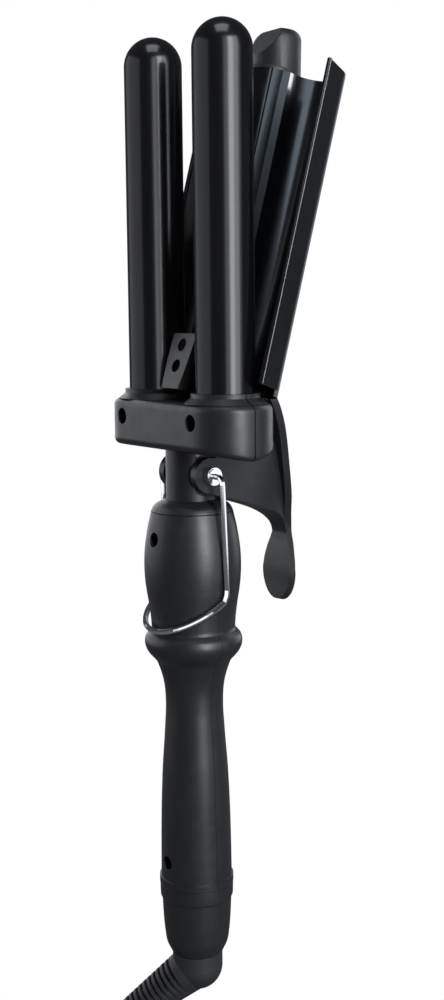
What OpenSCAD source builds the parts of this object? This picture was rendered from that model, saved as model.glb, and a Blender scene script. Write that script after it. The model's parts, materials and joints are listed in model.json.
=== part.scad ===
// Three-barrel hair waver. Two fixed barrels stand on a cross yoke. The jaw, with the middle
// barrel and a W-shaped wing plate, turns on a hollow pivot in the neck and is opened by a thumb
// lever. Millimetres; the origin is the waist of the grip, +Z runs up the barrels, -Y is the side
// with the screws and +Y the thumb side.

/* [Fixed barrels] */
// Outside diameter of each fixed barrel
barrel_d = 25; // [19:1:32]
// Distance between the axes of the fixed barrels
barrel_pitch = 51.2; // [50:0.2:60]
// Length of a fixed barrel above its ring
barrel_len = 150; // [110:1:180]
// Wall of every barrel tube
barrel_wall = 1.2; // [0.8:0.1:2]
// Depth of a barrel foot below the top of its ring
barrel_seat = 7; // [5:0.5:8]

/* [Yoke] */
// Height of the yoke between its flat faces
yoke_h = 19.6; // [16:0.5:24]
// Half of the yoke's depth, and the radius of its round ends
yoke_r = 18.5; // [17:0.5:22]
// Wall of the yoke's two half shells
yoke_wall = 2.6; // [2:0.1:3.5]
// Rounding of the yoke's long edges
yoke_round = 3; // [1:0.5:4]
// Height of the ring round each barrel foot
ring_h = 4.2; // [2:0.1:6]
// Wall of the ring round each barrel foot
ring_wall = 2; // [1.2:0.1:3]
// Diameter of the recessed screw holes in the yoke
yoke_hole_d = 7; // [5:0.5:8]

/* [Neck and pivot] */
// Diameter of the neck
neck_d = 22.4; // [20:0.2:26]
// Width of the neck across the flats where the ears sit
neck_flats = 20; // [16:0.5:21]
// Height of the pivot axis above the origin
pivot_z = 102; // [100:0.5:104]
// Distance from the pivot axis up to the underside of the yoke
pivot_to_yoke = 12; // [11.5:0.1:16]
// Outside diameter of the hollow pivot tube
pivot_d = 6; // [5:0.2:7]
// Diameter of the tube's rolled ends
ferrule_d = 7.6; // [7:0.2:9]
// Length of each rolled end outside its ear
ferrule_len = 3.6; // [2:0.1:5]

/* [Jaw] */
// Opening angle of the jaw as shown
jaw_open = 15.5; // [0:0.5:25]
// Outside diameter of the middle barrel
middle_d = 21; // [17:0.5:22]
// Distance of the middle barrel's axis in front of the pivot plane
middle_front = 2; // [0:0.5:4]
// Height of the wing plate's lower end above the pivot
wing_from = 40; // [39.5:0.5:44]
// Height of the wing plate's upper end above the pivot
wing_to = 176; // [140:1:190]
// Sheet thickness of the wing plate
wing_t = 1; // [0.8:0.1:1.6]
// Gap between a closed trough and its fixed barrel
trough_gap = 0.5; // [0.4:0.1:1]
// Angle at which a trough's outer edge flares away from its barrel
flare_angle = 25; // [15:1:40]
// Width of the flared edge
flare_w = 12.6; // [8:0.2:15]
// How far the plate wraps the middle barrel, in front of the barrel's axis
hug_front = 6.7; // [3:0.1:8]
// Height of the cap on the middle barrel
cap_h = 20; // [14:0.5:26]
// Angle at which the cap leans forward on its barrel
cap_lean = 14; // [0:1:18]
// Height of the holder's front block
holder_h = 24.6; // [20:0.2:30]
// Width of the holder's front block
holder_w = 18; // [14:0.5:20]
// Distance of the holder's front face from the pivot plane
holder_front = 20.4; // [17:0.2:24]
// Diameter of the holder's recessed screw holes
holder_hole_d = 5.6; // [4:0.2:7]
// Spacing of the holder's two screws
holder_pitch = 9.3; // [8:0.1:11]

/* [Lever] */
// Radius of the pivot ears
ear_r = 7.7; // [6.5:0.1:8.5]
// Thickness of an ear and of the lever's side webs
ear_t = 3.8; // [3:0.1:5]
// Thickness of the lever's back wall and thumb pad
lever_t = 3.4; // [2.6:0.1:4.5]
// Width of the thumb pad
pad_w = 20; // [14:0.5:24]

/* [Handle] */
// Wall of the handle shells, the collar and the end cap
shell_t = 2.2; // [1.8:0.1:3]
// Diameter of the recessed screw holes in the handle
handle_hole_d = 6.2; // [5:0.2:7]
// Depth of the screw seats in the handle, in front of the parting plane
handle_seat = 7; // [5:0.5:9]
// Length of the end cap below the handle's flange
cap_len = 33; // [28:0.5:40]

/* [Control panel] */
// Width of the panel on the thumb side
panel_w = 15; // [14:0.5:18]
// Height of the panel's lower end
panel_z0 = 44; // [42:0.5:46]
// Height of the panel's upper end
panel_z1 = 82; // [81:0.5:84]
// Thickness of the panel
panel_t = 1.8; // [1.4:0.1:2.4]
// Height of the display window
window_h = 9; // [7:0.5:10]
// Diameter of the power button
power_d = 7; // [6:0.2:8]
// Diameter of the plus and minus buttons
key_d = 5.6; // [5:0.2:6.4]
// Travel of every button
key_travel = 0.8; // [0.4:0.1:1]

/* [Wire stand] */
// Diameter of the stand's wire
wire_d = 2.5; // [2:0.1:2.8]
// Distance of each arm from the middle plane
arm_x = 22.8; // [22.6:0.2:26]
// Length of the arms from the pivot to the corners
arm_len = 53; // [40:1:56]
// How far the arms lean towards the thumb side
arm_lean = 2.3; // [0:0.1:5]
// Gap between the bow's front and the handle
bow_gap = 1.05; // [0.8:0.05:4]
// How far the bow drops from the corners to its front
bow_drop = 14; // [4:0.5:15]

/* [Cord guard] */
// Diameter of the guard's turning head and of its knuckle
guard_d = 22.6; // [20:0.2:26]
// Distance from the end cap down to the middle of the knuckle
guard_head = 7; // [4:0.5:12]
// Angle of the tail away from straight down
guard_angle = 52; // [0:1:70]
// Direction of the tail, seen from above
guard_turn = 234; // [0:1:359]
// Length of the ribbed tail, from the middle of the knuckle
tail_len = 50; // [36:1:60]
// Diameter of the tail at the knuckle
tail_d1 = 21; // [16:0.2:22]
// Diameter of the tail at its thin end
tail_d2 = 11.4; // [8.6:0.2:12]
// Distance from the middle of the knuckle to the first groove
groove_from = 9.6; // [8:0.2:14]
// Spacing of the grooves
groove_pitch = 2.8; // [2.4:0.1:4]
// Number of grooves in the tail
grooves = 14; // [6:1:16]
// Diameter of the bore for the cord
cord_bore = 6.6; // [5:0.1:7]

/* [Clearances] */
// Radial clearance of a running fit
run_fit = 0.05; // [0.02:0.01:0.1]
// Gap between pieces that move past each other
gap = 0.3; // [0.2:0.05:0.4]
// Gap round a piece that is set into another
seat_gap = 0.1; // [0.05:0.05:0.2]

/* [Hidden] */
$fn = 72;
eps = 0.01;
big = 400;

// Colours
c_matte = [0.10, 0.10, 0.11];
c_soft = [0.14, 0.14, 0.15];
c_gloss = [0.04, 0.04, 0.05];
c_metal = [0.85, 0.86, 0.88];
c_steel = [0.55, 0.56, 0.58];
c_board = [0.08, 0.30, 0.16];
c_heater = [0.78, 0.74, 0.66];

// Fixed barrels and yoke
barrel_r = barrel_d / 2;
barrel_x = barrel_pitch / 2;
yoke_x = barrel_x + 1.9;
yoke_z0 = pivot_z + pivot_to_yoke;
yoke_z1 = yoke_z0 + yoke_h;
ring_z = yoke_z1 + ring_h;
ring_r = barrel_r + ring_wall;
foot_z = ring_z - barrel_seat;
yoke_hole_z = yoke_z0 + 0.62 * yoke_h;
yoke_seat_y = -yoke_r + 7;
screw_r = 1.5;
screw_head_r = 2.7;
screw_head_h = 2;
screw_grip = 6;
boss_wall = 1.8;

// Neck and pivot
neck_r = neck_d / 2;
pivot_r = pivot_d / 2;
ear_x0 = neck_flats / 2 + gap;
ear_x1 = ear_x0 + ear_t;
ferrule_x0 = ear_x1 + gap;
ferrule_x1 = ferrule_x0 + ferrule_len;
flat_r = ear_r + 1.2;
collar_z1 = pivot_z - flat_r - 2.2;
neck_z0 = 82;
neck_z1 = yoke_z0 + 8;
pocket_r = 6.4;
pocket_x = 4.6;

// Jaw, in its own frame: y forward and back, z up from the pivot
middle_r = middle_d / 2;
trough_r = barrel_r + trough_gap;
trough_out = trough_r + wing_t;
hug_r = middle_r + wing_t;
lip_r = 1;
flare_inset = 0.05;
flange_front = 4;
flange_z0 = wing_from - 2.8;
holder_z0 = wing_from - 7.2;
holder_z1 = holder_z0 + holder_h;
holder_r = min(middle_r + 1.9, norm([barrel_x, middle_front]) - barrel_r - 0.7);
holder_seat_y = -holder_front + 4;
holder_holes_z = [for (s = [-1, 1]) (holder_z0 + holder_z1) / 2 + 2.4 + s * holder_pitch / 2];
holder_lean = 5;
bevel_h = 11;
bevel_in = 8;
cap_shift = 2.3;

// The back of the lever, from its top down to the tip of the thumb pad
lever_back = [[14.6, 43], [18.6, 40.6], [22.6, 36.6], [28.6, 29.6], [34.2, 21.6], [39.8, 13],
    [45, 5], [51.6, -5], [56.8, -13.4], [58.4, -19], [59, -24], [60.4, -32], [62.2, -39], [64.2, -47.4]];
// Half width of the lever, seen from behind, at heights down from its top
lever_half = [[43.5, 21.6], [37, 22], [29, 20.2], [21, 18], [13, 15.6], [7, 13.8], [0, 11.2],
    [-7, 7.6], [-13, 5.2], [-16, 5], [-19, 6], [-23, 7.6], [-28.5, 9.2]];
// Half width of the webs, seen from above, at distances behind the pivot
web_plan = [[19, 14.1], [26, 13.9], [33, 13], [40, 11.2], [44, 9.6], [47.4, 7.9], [50.4, 6.4],
    [53, 5.4], [58, 5]];
// Lower edge of the webs, from the ears down to the neck of the thumb pad
floor_edge = [[19, -7.6], [33, -8], [39.6, -8.4], [43.8, -9], [47.2, -10], [50, -11.4], [52.4, -13.4],
    [54.2, -16.2], [55.4, -19.5]];
pad_z = -34;
pad_tip = -47;
floor_t = 2.6;
// Distance behind the pivot where the floor starts, clear of the handle's collar
floor_from = 24;
// Distance behind the pivot of the rib that the spring bears on
rib_y = 16.4;

// Handle: height and outer radius, from the collar seam down to the flange
handle_z1 = 85.6;
handle_profile = [[85.6, 17.9], [83, 18.5], [80, 19.2], [75, 20.1], [69, 20.9], [62.5, 21.2],
    [56.5, 21], [51, 20.4], [46, 19.6], [41, 18.9], [36.5, 18.5], [33.8, 18.5], [32.4, 19.6],
    [30.8, 20.9], [28.6, 21.5], [26, 21.2], [23.4, 19.9], [21.2, 18], [19.4, 16.5], [17, 15.5],
    [14, 14.5], [10.5, 13.6], [6.5, 13], [2, 12.75], [-3, 12.75], [-9, 13.1], [-18, 13.7],
    [-27, 14.4], [-36, 14.9], [-46, 15.3], [-60, 15.65], [-80.6, 15.9]];
handle_z0 = -80.6;
flange_r = 16.6;
flange_h = 2;
seam = 0.25;
// Shoulder of the collar: radius and height, from the seam up to the neck
collar_profile = [[17.8, handle_z1 + seam], [17.4, 86.8], [16.9, 87.7], [16.2, 88.5], [15.2, 89.2],
    [14, 89.8], [13, 90.2], [12.3, 90.6]];
hole_z = [74.6, -71.5];
boss_end = 8;

// End cap: distance below the flange and outer radius
cap_z1 = handle_z0 - flange_h - seam;
cap_z0 = cap_z1 - cap_len;
cap_profile = [[0, 16.45], [6, 16.3], [6.6, 15.7], [9.5, 15.5], [14, 15.3], [19, 15], [24, 14.5],
    [27.5, 14], [29.4, 13.4], [31, 12.6]];
swivel_r = 8;
swivel_lip = 1.6;
cap_floor = 3;

// Control panel and keys
panel_seat = panel_t - 0.25;
window_z = panel_z1 - 8;
plus_z = panel_z1 - 16.5;
minus_z = plus_z - 7.4;
power_z = panel_z0 + 6;
key_proud = 0.8;
key_lip = 0.8;
key_lip_t = 1.2;
board_y = 11.4;
board_t = 1.6;
board_w = 16;

// Wire stand
wire_r = wire_d / 2;
wire_turn = 3;
corner_turn = 3.6;
wire_sides = 10;

// Return spring
spring_wire = 1.2;
spring_r = 4.3;
spring_pitch = 1.75;
spring_turns = 3.5;

// ---- Helpers ----

// Point on a smooth curve through four neighbours
function catmull(a, b, c, d, t) = 0.5 * (2 * b + (c - a) * t + (2 * a - 5 * b + 4 * c - d) * t * t
    + (3 * b - a - 3 * c + d) * t * t * t);
// Smooth curve through a list of points, with n steps a span
function smooth(p, n) = let (m = len(p) - 1)
    [for (i = [0:m - 1]) for (k = [0:n - 1])
        catmull(p[max(i - 1, 0)], p[i], p[i + 1], p[min(i + 2, m)], k / n), p[m]];
function unit(v) = v / norm(v);
// The same curve moved sideways by t, to the left of its direction
function shifted(p, t) = let (m = len(p) - 1)
    [for (i = [0:m]) let (d = unit(p[min(i + 1, m)] - p[max(i - 1, 0)]))
        p[i] + t * [-d[1], d[0]]];
function reversed(p) = [for (i = [len(p) - 1:-1:0]) p[i]];
function radii(p, d) = [for (q = p) [q[1] + d, q[0]]];

// Solid of revolution of a height-radius profile, with its radius changed by d
module revolve(profile, d = 0) {
    p = radii(smooth(profile, 3), d);
    m = len(p) - 1;
    rotate_extrude() polygon(concat([[0, p[0][1]]], p, [[0, p[m][1]]]));
}
// Half space on one side of the parting plane
module half(front) {
    translate([-big / 2, front ? -big : 0, -big / 2]) cube(big);
}
// Cylinder along Y from y0 to y1
module along_y(r, y0, y1) {
    translate([0, y0, 0]) rotate([-90, 0, 0]) cylinder(r = r, h = y1 - y0);
}
// Cylinder along X from x0 to x1
module along_x(r, x0, x1) {
    translate([x0, 0, 0]) rotate([0, 90, 0]) cylinder(r = r, h = x1 - x0);
}
module both_sides() {
    children();
    mirror([1, 0, 0]) children();
}
// Rectangle with round corners, from the Y axis out to w
module round_half(w, h, r) {
    translate([0, 0]) square([w - r, h]);
    translate([0, r]) square([w, h - 2 * r]);
    translate([w - r, r]) circle(r);
    translate([w - r, h - r]) circle(r);
}
// Stadium with rounded edges, lying on z = 0
module stadium(half_x, r, h, edge) {
    for (s = [-1, 1]) translate([s * half_x, 0, 0]) rotate_extrude()
        intersection() {
            round_half(r, h, edge);
            translate([0, -1]) square([r + 1, h + 2]);
        }
    translate([-half_x, 0, 0]) rotate([90, 0, 90]) linear_extrude(2 * half_x) {
        round_half(r, h, edge);
        mirror([1, 0]) round_half(r, h, edge);
    }
}
// Tube swept along a path: one closed polyhedron
module sweep(path, r, sides) {
    m = len(path) - 1;
    tangents = [for (i = [0:m]) unit(path[min(i + 1, m)] - path[max(i - 1, 0)])];
    start = abs(tangents[0][2]) < 0.9 ? [0, 0, 1] : [0, 1, 0];
    frames = [for (i = 0, n = unit(cross(tangents[0], start)); i <= m;
        i = i + 1, n = i <= m ? unit(n - (n * tangents[i]) * tangents[i]) : n) n];
    points = [for (i = [0:m]) for (k = [0:sides - 1])
        path[i] + r * (cos(360 * k / sides) * frames[i]
            + sin(360 * k / sides) * cross(tangents[i], frames[i]))];
    polyhedron(points, concat(
        [for (i = [0:m - 1]) for (k = [0:sides - 1]) let (a = i * sides + k,
            b = i * sides + (k + 1) % sides) each [[a, b, a + sides], [b, b + sides, a + sides]]],
        [[for (k = [sides - 1:-1:0]) k]],
        [[for (k = [0:sides - 1]) m * sides + k]]), convexity = 6);
}
// The moving jaw's own frame
module jaw() {
    translate([0, 0, pivot_z]) rotate([-jaw_open, 0, 0]) children();
}
// Screw with its head's underside at y = 0 and its shank towards +Y
module screw(grip) {
    difference() {
        union() {
            along_y(screw_r, -eps, grip);
            along_y(screw_head_r, -screw_head_h, 0);
        }
        for (a = [0, 90]) rotate([0, a, 0]) translate([-2, -screw_head_h - 1, -0.4]) cube([4, 2, 0.8]);
    }
}

// ---- Yoke and fixed barrels ----

module yoke_body() {
    translate([0, 0, yoke_z0]) stadium(yoke_x, yoke_r, yoke_h, yoke_round);
    for (s = [-1, 1]) translate([s * barrel_x, 0, yoke_z1 - yoke_round])
        cylinder(r = ring_r, h = ring_h + yoke_round);
    // Skirts at the rings' feet
    for (s = [-1, 1]) intersection() {
        translate([s * barrel_x, 0, yoke_z1]) cylinder(r1 = ring_r + 3, r2 = ring_r, h = 2.4);
        translate([0, 0, yoke_z0]) stadium(yoke_x, yoke_r, 2 * yoke_h, 1);
    }
}
module yoke_cavity() {
    translate([0, 0, yoke_z0 + yoke_wall])
        stadium(yoke_x, yoke_r - yoke_wall, foot_z - yoke_wall - yoke_z0 - yoke_wall, 1);
    for (s = [-1, 1]) {
        translate([s * barrel_x, 0, foot_z]) cylinder(r = barrel_r, h = big);
        translate([s * barrel_x, 0, foot_z - 2 * yoke_wall]) cylinder(r = barrel_r - 3, h = big);
    }
    // Seat of the neck
    translate([0, 0, yoke_z0 - 1]) cylinder(r = neck_r, h = neck_z1 - yoke_z0 + 1);
}
module yoke_bosses() {
    both_sides() translate([barrel_x + 0.8, 0, yoke_hole_z])
        along_y(yoke_hole_d / 2 + boss_wall, -yoke_r + 1, yoke_r - 1);
}
module yoke_half(front) {
    difference() {
        intersection() {
            union() {
                difference() {
                    yoke_body();
                    yoke_cavity();
                }
                intersection() {
                    yoke_bosses();
                    translate([0, 0, yoke_z0]) stadium(yoke_x, yoke_r, foot_z - yoke_z0, 1);
                }
            }
            half(front);
        }
        both_sides() translate([barrel_x + 0.8, 0, yoke_hole_z]) {
            along_y(yoke_hole_d / 2, -big / 2, yoke_seat_y);
            along_y(screw_r, -big / 2, yoke_r - 4);
        }
    }
}
module yoke_front() {
    color(c_matte) yoke_half(true);
}
module yoke_rear() {
    color(c_matte) yoke_half(false);
}
module yoke_screws() {
    color(c_steel) both_sides() translate([barrel_x + 0.8, yoke_seat_y, yoke_hole_z])
        screw(yoke_r - 5 - yoke_seat_y);
}

// Tube with a domed tip and an open foot, standing on z = 0
module barrel(r, len) {
    difference() {
        union() {
            cylinder(r = r, h = len - r);
            translate([0, 0, len - r]) sphere(r);
        }
        translate([0, 0, -1]) cylinder(r = r - barrel_wall, h = len - r + 1);
        translate([0, 0, len - r]) sphere(r - barrel_wall);
    }
}
// Ceramic core between two spacer discs, standing on z = 0
module heater(r, len) {
    cylinder(r = r - barrel_wall - seat_gap, h = 4);
    cylinder(r = 0.55 * r, h = len);
    translate([0, 0, len - 4]) cylinder(r = r - barrel_wall - seat_gap, h = 4);
}
module barrel_left() {
    color(c_gloss) translate([-barrel_x, 0, foot_z]) barrel(barrel_r, barrel_len + barrel_seat);
}
module barrel_right() {
    color(c_gloss) translate([barrel_x, 0, foot_z]) barrel(barrel_r, barrel_len + barrel_seat);
}
module heater_left() {
    color(c_heater) translate([-barrel_x, 0, foot_z + 6]) heater(barrel_r, barrel_len - 20);
}
module heater_right() {
    color(c_heater) translate([barrel_x, 0, foot_z + 6]) heater(barrel_r, barrel_len - 20);
}

// ---- Neck and pivot ----

module neck() {
    color(c_matte) difference() {
        translate([0, 0, neck_z0]) cylinder(r = neck_r, h = neck_z1 - neck_z0);
        // Flats for the ears
        translate([0, 0, pivot_z]) both_sides()
            along_x(flat_r, neck_flats / 2, neck_flats / 2 + 10);
        // Room behind the flats for the lever's webs
        translate([0, 0, pivot_z]) both_sides() translate([neck_flats / 2, 0, -flat_r - 2.2])
            cube([10, 20, flat_r + 2.2 + pivot_to_yoke]);
        // Bore of the pivot tube
        translate([0, 0, pivot_z]) along_x(pivot_r, -20, 20);
        // Pocket of the return spring, open towards the thumb side
        translate([0, 0, pivot_z]) along_x(pocket_r, -pocket_x, pocket_x);
        translate([-pocket_x, 0, pivot_z - pocket_r]) cube([2 * pocket_x, 20, 2 * pocket_r]);
        // Way for the leads from the handle into the yoke
        for (s = [-1, 1]) translate([0, -7.6, neck_z0 - 1]) cylinder(r = 1.6, h = 60);
    }
}
module pivot_tube() {
    color(c_metal) translate([0, 0, pivot_z]) difference() {
        union() {
            along_x(pivot_r, -ferrule_x1, ferrule_x1);
            both_sides() {
                along_x(ferrule_d / 2 - 0.5, ferrule_x0, ferrule_x1);
                along_x(ferrule_d / 2, ferrule_x0, ferrule_x1 - 0.5);
            }
        }
        along_x(wire_r + run_fit, -big / 2, big / 2);
    }
}

// ---- Jaw ----

// The W of the wing plate: a clasp round the middle barrel between two troughs
module wing_outline() {
    difference() {
        union() {
            // Clasp, open towards the screw side
            difference() {
                translate([0, -middle_front]) circle(hug_r);
                translate([-50, -middle_front - hug_front - 50]) square([100, 50]);
            }
            both_sides() {
                // Back of the trough
                translate([barrel_x, 0]) difference() {
                    circle(trough_out);
                    rotate(flare_angle) translate([0, -50]) square(50);
                    translate([-50, -50]) square([100, 50]);
                }
                // Web between clasp and trough
                polygon([[middle_r, -middle_front - 4], [barrel_x - trough_r + 0.3, -1.4],
                    [barrel_x - trough_r + 0.4, 4], [middle_r - 2, 4]]);
            }
        }
        translate([0, -middle_front]) circle(middle_r);
        both_sides() translate([barrel_x, 0]) circle(trough_r);
    }
}
module wing_flare() {
    both_sides() translate([barrel_x, 0]) rotate(flare_angle) {
        // Set a hair inside the wall, and run on into it
        translate([trough_r + flare_inset, -flare_w])
            square([wing_t - 2 * flare_inset, flare_w + 0.8]);
        translate([trough_r + wing_t / 2, -flare_w]) circle(lip_r);
    }
}
module wing_plate() {
    color(c_gloss) jaw() translate([0, 0, wing_from]) linear_extrude(wing_to - wing_from) {
        wing_outline();
        wing_flare();
    }
}
module barrel_middle() {
    color(c_gloss) jaw() difference() {
        translate([0, -middle_front, flange_z0 + 2]) cylinder(r = middle_r, h = wing_to - flange_z0 - 2);
        translate([0, -middle_front, flange_z0 + 1]) cylinder(r = middle_r - barrel_wall, h = big);
        // Holes that the holder's screws bite in
        for (z = holder_holes_z) translate([0, 0, z]) along_y(1.1, -20, -middle_front);
    }
}
module heater_middle() {
    color(c_heater) jaw() translate([0, -middle_front, flange_z0 + 8])
        heater(middle_r, wing_to - flange_z0 - 24);
}
module middle_cap() {
    color(c_soft) jaw() translate([0, -middle_front, wing_to]) {
        intersection() {
            translate([0, cap_shift, 0]) rotate([cap_lean, 0, 0]) difference() {
                translate([0, 0, -8]) rotate_extrude() {
                    square([middle_r - 4.4, cap_h + 8]);
                    square([middle_r + 0.2, cap_h + 3.4]);
                    translate([middle_r - 4.4, cap_h + 3.4]) circle(4.6);
                }
                // Bevel on the screw side
                translate([0, -middle_r - 0.2, cap_h - bevel_h])
                    rotate([-atan(bevel_in / bevel_h), 0, 0]) translate([-20, -20, -10])
                        cube([40, 20, 60]);
            }
            translate([-50, -50, 0]) cube(100);
        }
        cylinder(r = middle_r, h = 1.5);
        // Spigot in the tube
        translate([0, 0, -6]) cylinder(r = middle_r - barrel_wall - seat_gap, h = 6 + eps);
    }
}
module holder_outline() {
    translate([-holder_w / 2, -holder_front + 4]) square([holder_w, holder_front - 4]);
    translate([-holder_w / 2 + 4, -holder_front]) square([holder_w - 8, 10]);
    both_sides() translate([holder_w / 2 - 4, -holder_front + 4]) circle(4);
}
module middle_holder() {
    color(c_matte) jaw() difference() {
        union() {
            translate([0, 0, holder_z0]) linear_extrude(holder_h) difference() {
                holder_outline();
                translate([-20, -middle_front - 4]) square([40, 40]);
            }
            translate([0, 0, wing_from]) linear_extrude(holder_z1 - wing_from) difference() {
                union() {
                    holder_outline();
                    translate([0, -middle_front]) circle(holder_r);
                }
                both_sides() translate([barrel_x, 0]) circle(trough_r + 0.2);
                translate([-20, -flange_front]) square([40, 40]);
            }
            // Tongue under the barrel, on the lever's flange
            translate([0, 0, flange_z0]) linear_extrude(wing_from - flange_z0)
                translate([-holder_w / 2, -middle_front - 6])
                    square([holder_w, 6 - flange_front + middle_front]);
        }
        translate([0, -middle_front, flange_z0 + 2]) cylinder(r = middle_r, h = big);
        // Room for the plate's clasp
        translate([0, 0, wing_from - eps]) linear_extrude(big) intersection() {
            translate([0, -middle_front]) circle(hug_r + gap);
            translate([-20, -middle_front - hug_front - seat_gap]) square(40);
        }
        // The front face leans back towards its top, with a rounded shoulder
        translate([0, -holder_front, holder_z0]) rotate([-holder_lean, 0, 0])
            translate([-20, -20, -10]) cube([40, 20, 60]);
        for (z = holder_holes_z) translate([0, 0, z]) {
            along_y(holder_hole_d / 2, -big / 2, holder_seat_y);
            along_y(1.1, -big / 2, 0);
        }
    }
}
module holder_screws() {
    color(c_steel) jaw() for (z = holder_holes_z)
        translate([0, holder_seat_y, z]) difference() {
            union() {
                along_y(1.1, -eps, -middle_front - middle_r + barrel_wall - holder_seat_y + 1.2);
                along_y(holder_hole_d / 2 - 0.3, -1.6, 0);
            }
            for (a = [0, 90]) rotate([0, a, 0]) translate([-1.6, -2.6, -0.3]) cube([3.2, 1.6, 0.6]);
        }
}

// Shape of the lever from behind
module lever_outline() {
    side = [for (q = smooth(lever_half, 3)) [q[1], q[0]]];
    pad_r = pad_w / 2;
    tip_h = pad_z - pad_tip;
    arc = [for (a = [0:9:90]) [pad_r * cos(a), pad_z - tip_h * sin(a)]];
    right = concat(side, arc);
    polygon(concat(right, [for (q = reversed(right)) [-q[0], q[1]]]));
}
// Side view of the webs
module web_profile() {
    polygon(concat([[0, ear_r], [0, -ear_r], [10, -7.5]], smooth(floor_edge, 3), [[56.6, -16],
        [53, -9], [48, -1], [42, 7], [36, 16], [29, 26], [24, 31.5], [21.5, 30], [20.2, 22],
        [19.6, 11.2], [8, 10.6]]));
}
// Lower edge as a strip of even thickness
module floor_strip() {
    edge = smooth(floor_edge, 3);
    polygon(concat(edge, reversed(shifted(edge, floor_t))));
}
// A side view, from one side of the lever to the other
module across(half_x) {
    rotate([90, 0, 90]) translate([0, 0, -half_x]) linear_extrude(2 * half_x) children();
}
module lever() {
    back = smooth(lever_back, 4);
    front = shifted(back, -lever_t);
    color(c_matte) jaw() difference() {
        union() {
            // Back wall and thumb pad
            intersection() {
                rotate([90, 0, 90]) translate([0, 0, -30]) linear_extrude(60)
                    polygon(concat(back, reversed(front)));
                rotate([90, 0, 0]) translate([0, 0, -80]) linear_extrude(80) lever_outline();
            }
            // Flange that carries the wing plate
            translate([0, 0, flange_z0]) linear_extrude(wing_from - flange_z0) difference() {
                union() {
                    wing_outline();
                    translate([-20, -flange_front]) square([40, flange_front + 20]);
                }
                both_sides() translate([barrel_x, 0]) circle(trough_r + gap);
                translate([-50, -flange_front - 50]) square([100, 50]);
            }
            // Ears, and webs that draw together towards the thumb pad
            both_sides() {
                along_x(ear_r, ear_x0, ear_x1);
                translate([ear_x0, 0, 0]) rotate([90, 0, 90]) linear_extrude(ear_t) intersection() {
                    web_profile();
                    translate([0, -50]) square([20, 100]);
                }
            }
            plan = [for (q = smooth(web_plan, 3)) [q[1], q[0]]];
            intersection() {
                across(30) web_profile();
                translate([0, 0, -40]) linear_extrude(100) both_sides()
                    polygon(concat(plan, reversed(shifted(plan, ear_t - 0.4))));
            }
            // Floor between the webs
            intersection() {
                across(30) intersection() {
                    floor_strip();
                    translate([floor_from, -50]) square(100);
                }
                translate([0, 0, -40]) linear_extrude(60) polygon(concat([for (q = plan) q - [0.6, 0]],
                    reversed([for (q = plan) [0.6 - q[0], q[1]]])));
            }
            // Rib that the spring bears on from below
            translate([-ear_x0 - 1, rib_y, spring_r + spring_wire / 2]) cube([2 * ear_x0 + 2, 2.2, 2.4]);
        }
        along_x(pivot_r + run_fit, -40, 40);
        // Seat of the middle barrel in the flange
        translate([0, -middle_front, flange_z0 + 2]) cylinder(r = middle_r, h = 20);
    }
}

// Closing spring: turns round the pivot tube, one leg on the lever's rib
spring_path = concat(
    [[-pocket_x + 1, 2.4, -spring_r]],
    [for (a = [0:15:360 * spring_turns]) [-spring_turns * spring_pitch / 2 + spring_pitch * a / 360,
        -spring_r * sin(a), -spring_r * cos(a)]],
    [[spring_turns * spring_pitch / 2, rib_y + 1.6, spring_r]]);
echo("least gap between the spring's turns", spring_pitch - spring_wire);
module return_spring() {
    color(c_steel) jaw() sweep(spring_path, spring_wire / 2, 6);
}

// ---- Wire stand ----

// Quarter turn in a plane, from point a towards u, ending towards w
function turn(a, u, w, r, n) = [for (k = [0:n]) let (t = 90 * k / n)
    a + r * sin(t) * u + r * (1 - cos(t)) * w];
arm_dir = unit([0, arm_lean, -arm_len]);
corner = [arm_x, arm_lean, -arm_len];
bow_r = arm_x;
bow_front = lookup(pivot_z - arm_len - bow_drop, [for (q = reversed(handle_profile)) q]) + wire_r + bow_gap;
bow_path = [for (a = [12:6:90]) [bow_r * cos(a), arm_lean - (bow_front + arm_lean) * sin(a),
    -arm_len - bow_drop * sin(a)]];
half_path = concat(
    [[ferrule_x1 - 3, 0, 0], [arm_x - wire_turn - 0.2, 0, 0]],
    turn([arm_x - wire_turn, 0, 0], [1, 0, 0], arm_dir, wire_turn, 5),
    [corner - 4.6 * arm_dir, corner - 2.4 * arm_dir + [0, -0.3, 0],
        corner + [-0.1, -1.6, -0.5]],
    bow_path);
module stand_wire() {
    m = len(half_path) - 1;
    path = concat(half_path, [for (i = [m - 1:-1:0])
        [-half_path[i][0], half_path[i][1], half_path[i][2]]]);
    color(c_metal) translate([0, 0, pivot_z]) {
        sweep(path, wire_r - 0.02, wire_sides);
        both_sides() along_x(wire_r, ferrule_x1 - 9, ferrule_x1 - 1);
    }
}

// ---- Handle ----

module handle_bosses() {
    r = handle_hole_d / 2 + boss_wall;
    translate([0, 0, hole_z[0]]) {
        along_y(r, -30, boss_end);
        // Cross rib that ties the upper boss to the side walls, in front of the board
        translate([-25, 0, -1]) cube([50, boss_end, 2]);
    }
    translate([0, 0, hole_z[1]]) along_y(r, -30, 30);
}
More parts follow.
